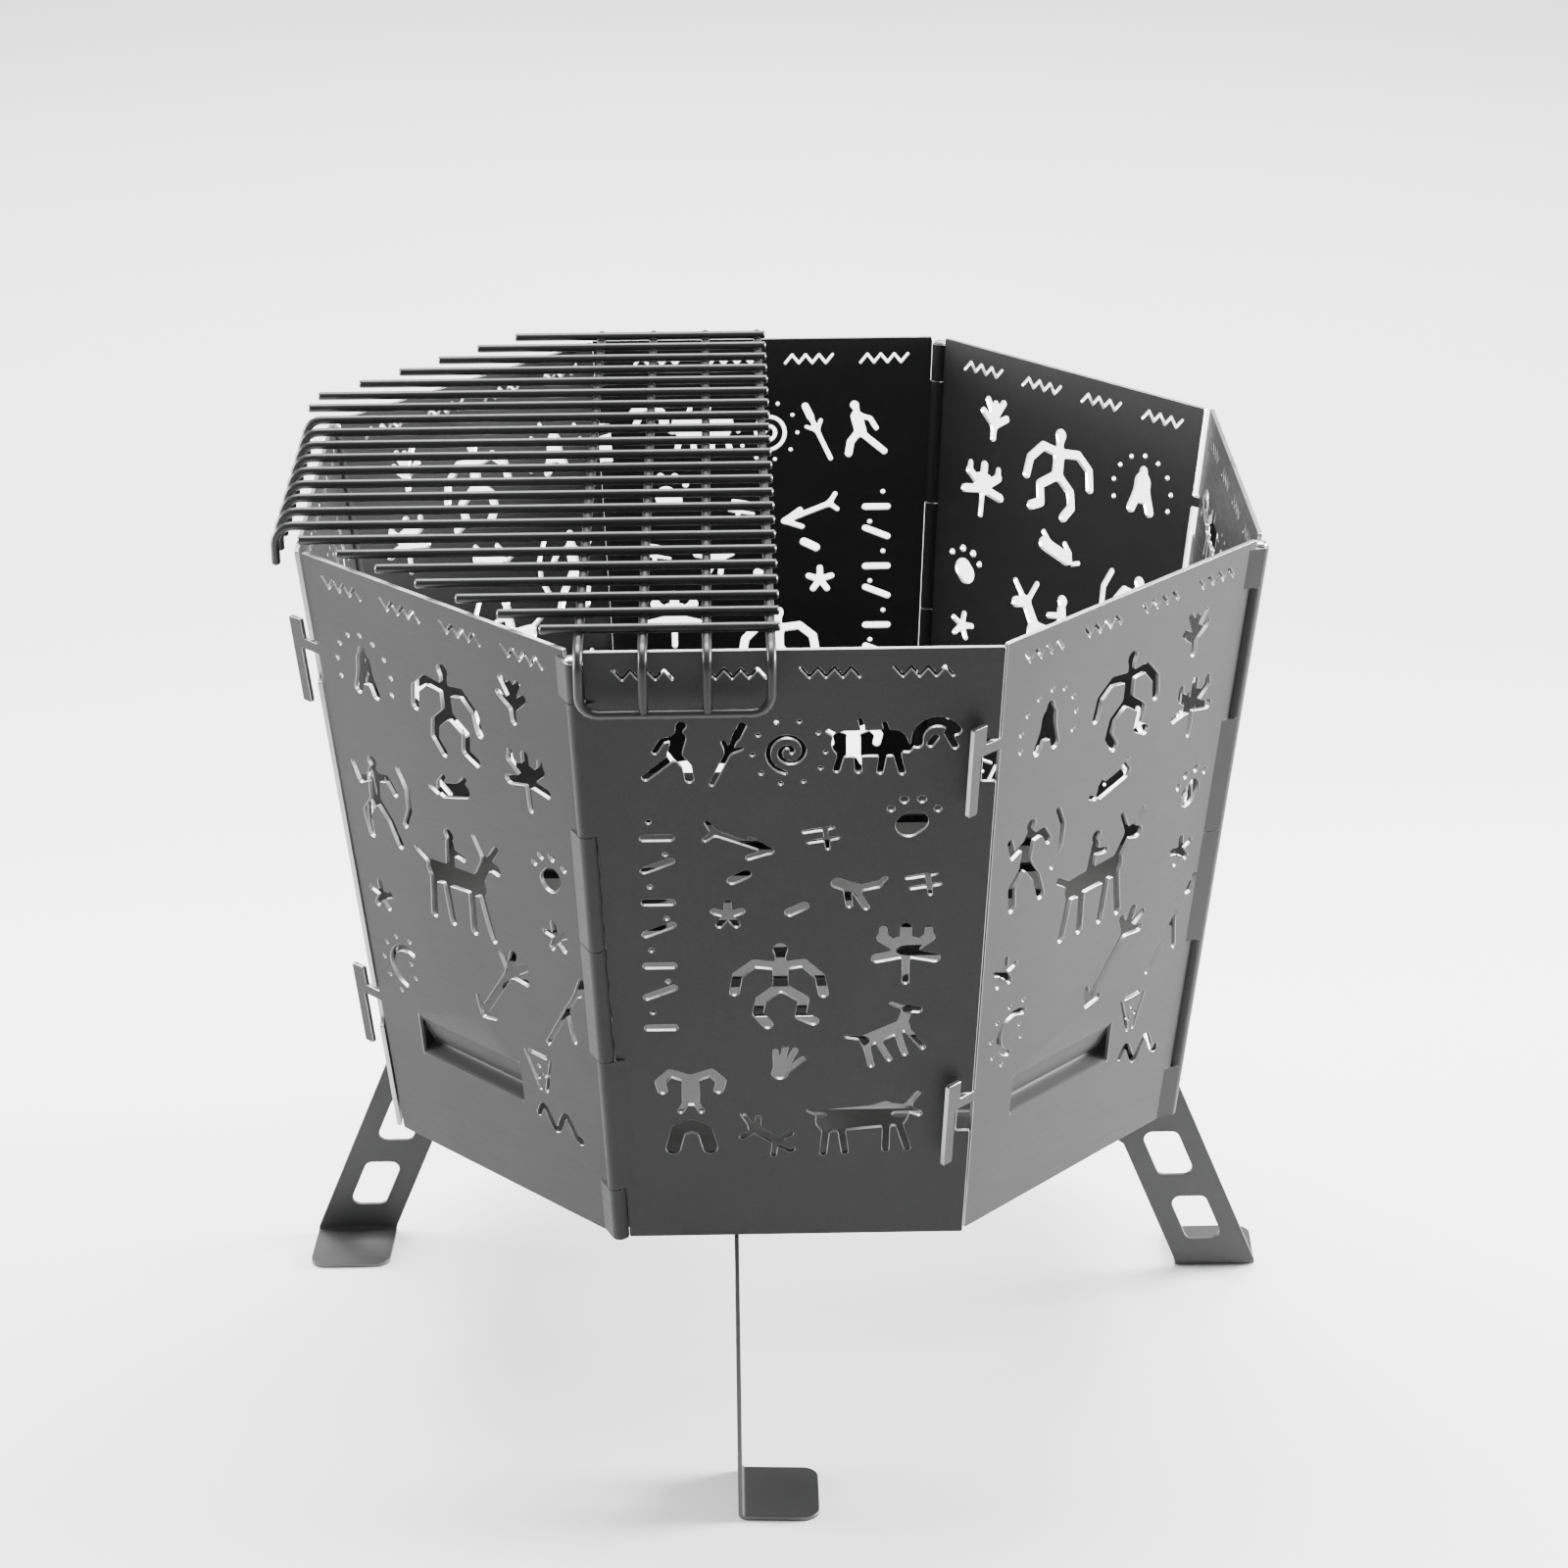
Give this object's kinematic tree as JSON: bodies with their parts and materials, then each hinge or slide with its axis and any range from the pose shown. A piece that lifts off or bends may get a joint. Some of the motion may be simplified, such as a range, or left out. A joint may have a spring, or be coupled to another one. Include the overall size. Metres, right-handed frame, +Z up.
{
  "type": "folding fire pit",
  "caption": "Octagonal folding sheet-steel fire pit with pierced, outward-leaning panels on blade legs, holding an ash plate, a fuel grate and a wire cooking grate over half its top.",
  "frame": {"origin": "centre of the feet on the ground", "axes": "+Z up, -Y towards the front panel, +X to the right of someone facing the front panel"},
  "size_m": [0.466, 0.466, 0.4126],
  "materials": {
    "panel_steel": "satin grey heat-resistant coating",
    "leg_steel": "satin dark grey heat-resistant coating",
    "plate_steel": "dull rolled sheet",
    "wire_steel": "glossy dark coated wire",
    "pin_steel": "bright drawn wire"
  },
  "bodies": {
    "stand": {"hinge_pin_front_right_lower": "pin_steel", "hinge_pin_front_right_upper": "pin_steel", "hinge_pin_back_right_lower": "pin_steel", "hinge_pin_back_right_upper": "pin_steel", "hinge_pin_back_left_lower": "pin_steel", "hinge_pin_back_left_upper": "pin_steel", "hinge_pin_front_left_lower": "pin_steel", "hinge_pin_front_left_upper": "pin_steel", "leg_front": "leg_steel", "leg_right": "leg_steel", "leg_back": "leg_steel", "leg_left": "leg_steel", "ash_plate": "plate_steel", "panel_front": "panel_steel", "panel_right": "panel_steel", "panel_back": "panel_steel", "panel_left": "panel_steel"},
    "door_front_right": {"panel_front_right": "panel_steel"},
    "door_back_right": {"panel_back_right": "panel_steel"},
    "door_back_left": {"panel_back_left": "panel_steel"},
    "door_front_left": {"panel_front_left": "panel_steel"},
    "cooking_grate": {"cooking_grate": "wire_steel"},
    "fuel_grate": {"fuel_grate": "plate_steel"}
  },
  "joints": [
    {"name": "front_right_door", "type": "hinge", "parent": "stand", "child": "door_front_right", "pos_m": [0.179, -0.07415, 0.1151], "axis": [0.1028, -0.0426, 0.9938], "range_deg": [0, 110]},
    {"name": "back_right_door", "type": "hinge", "parent": "stand", "child": "door_back_right", "pos_m": [0.07415, 0.179, 0.1151], "axis": [0.0426, 0.1028, 0.9938], "range_deg": [0, 110]},
    {"name": "back_left_door", "type": "hinge", "parent": "stand", "child": "door_back_left", "pos_m": [-0.179, 0.07415, 0.1151], "axis": [-0.1028, 0.0426, 0.9938], "range_deg": [0, 110]},
    {"name": "front_left_door", "type": "hinge", "parent": "stand", "child": "door_front_left", "pos_m": [-0.07415, -0.179, 0.1151], "axis": [-0.0426, -0.1028, 0.9938], "range_deg": [0, 110]},
    {"name": "cooking_grate_lift", "type": "slide", "parent": "stand", "child": "cooking_grate", "axis": [0, 0, 1], "range_m": [0, 0.12]},
    {"name": "fuel_grate_lift", "type": "slide", "parent": "stand", "child": "fuel_grate", "axis": [0, 0, 1], "range_m": [0, 0.2]}
  ]
}
